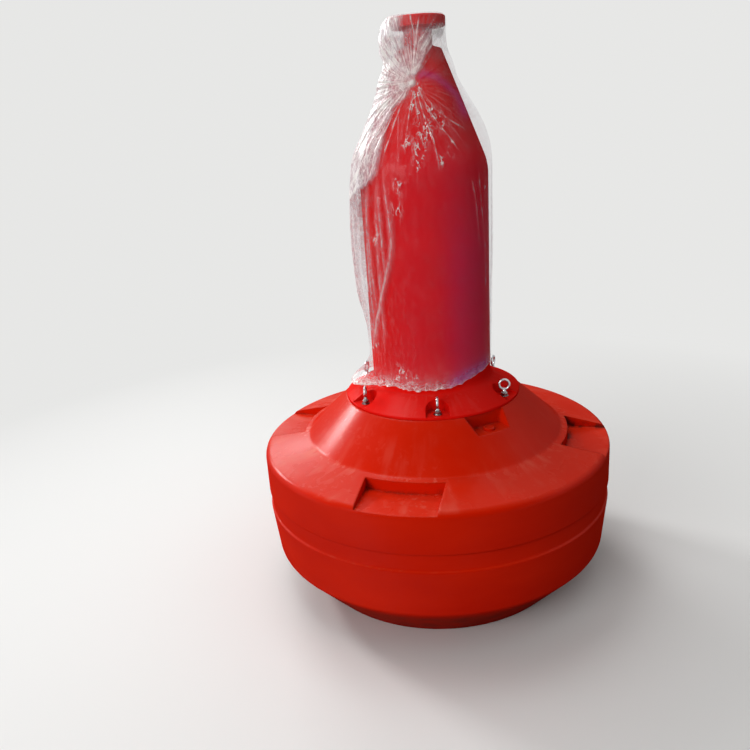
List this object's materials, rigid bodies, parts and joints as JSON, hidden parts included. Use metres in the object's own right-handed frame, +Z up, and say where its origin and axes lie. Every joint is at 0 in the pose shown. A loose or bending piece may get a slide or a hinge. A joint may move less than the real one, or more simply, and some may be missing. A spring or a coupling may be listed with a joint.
{
  "type": "navigation buoy",
  "caption": "Round plastic navigation buoy: bevelled float with deck notches, bolted tower with a lamp seat, lifting eyes, mooring lug and clear film wrap.",
  "frame": {"origin": "on the floor at the middle of the flat bottom", "axes": "+Z up along the tower; -Y towards the deck notch nearest the picture's viewer"},
  "size_m": [1.2, 1.2, 1.851],
  "materials": {
    "float_plastic": "orange-red moulded polyethylene, satin",
    "tower_plastic": "red moulded polyethylene, satin",
    "zinc_steel": "bright zinc plate",
    "insert_brass": "turned",
    "galvanised_steel": "hot-dip galvanised, dull",
    "clear_film": "thin clear polyethylene film, creased"
  },
  "bodies": {
    "root": {"float_hull": "float_plastic", "tower": "tower_plastic", "filling_plug_1": "float_plastic", "filling_plug_2": "float_plastic", "eye_bolt_1": "zinc_steel", "eye_bolt_2": "zinc_steel", "eye_bolt_3": "zinc_steel", "eye_bolt_4": "zinc_steel", "eye_bolt_5": "zinc_steel", "eye_bolt_6": "zinc_steel", "eye_nut_1": "zinc_steel", "eye_nut_2": "zinc_steel", "eye_nut_3": "zinc_steel", "eye_nut_4": "zinc_steel", "eye_nut_5": "zinc_steel", "eye_nut_6": "zinc_steel", "eye_washer_1": "zinc_steel", "eye_washer_2": "zinc_steel", "eye_washer_3": "zinc_steel", "eye_washer_4": "zinc_steel", "eye_washer_5": "zinc_steel", "eye_washer_6": "zinc_steel", "lamp_inserts": "insert_brass", "mooring_plate": "galvanised_steel", "mooring_lug": "galvanised_steel", "mooring_bolts": "galvanised_steel", "wrap_film": "clear_film"}
  },
  "joints": []
}
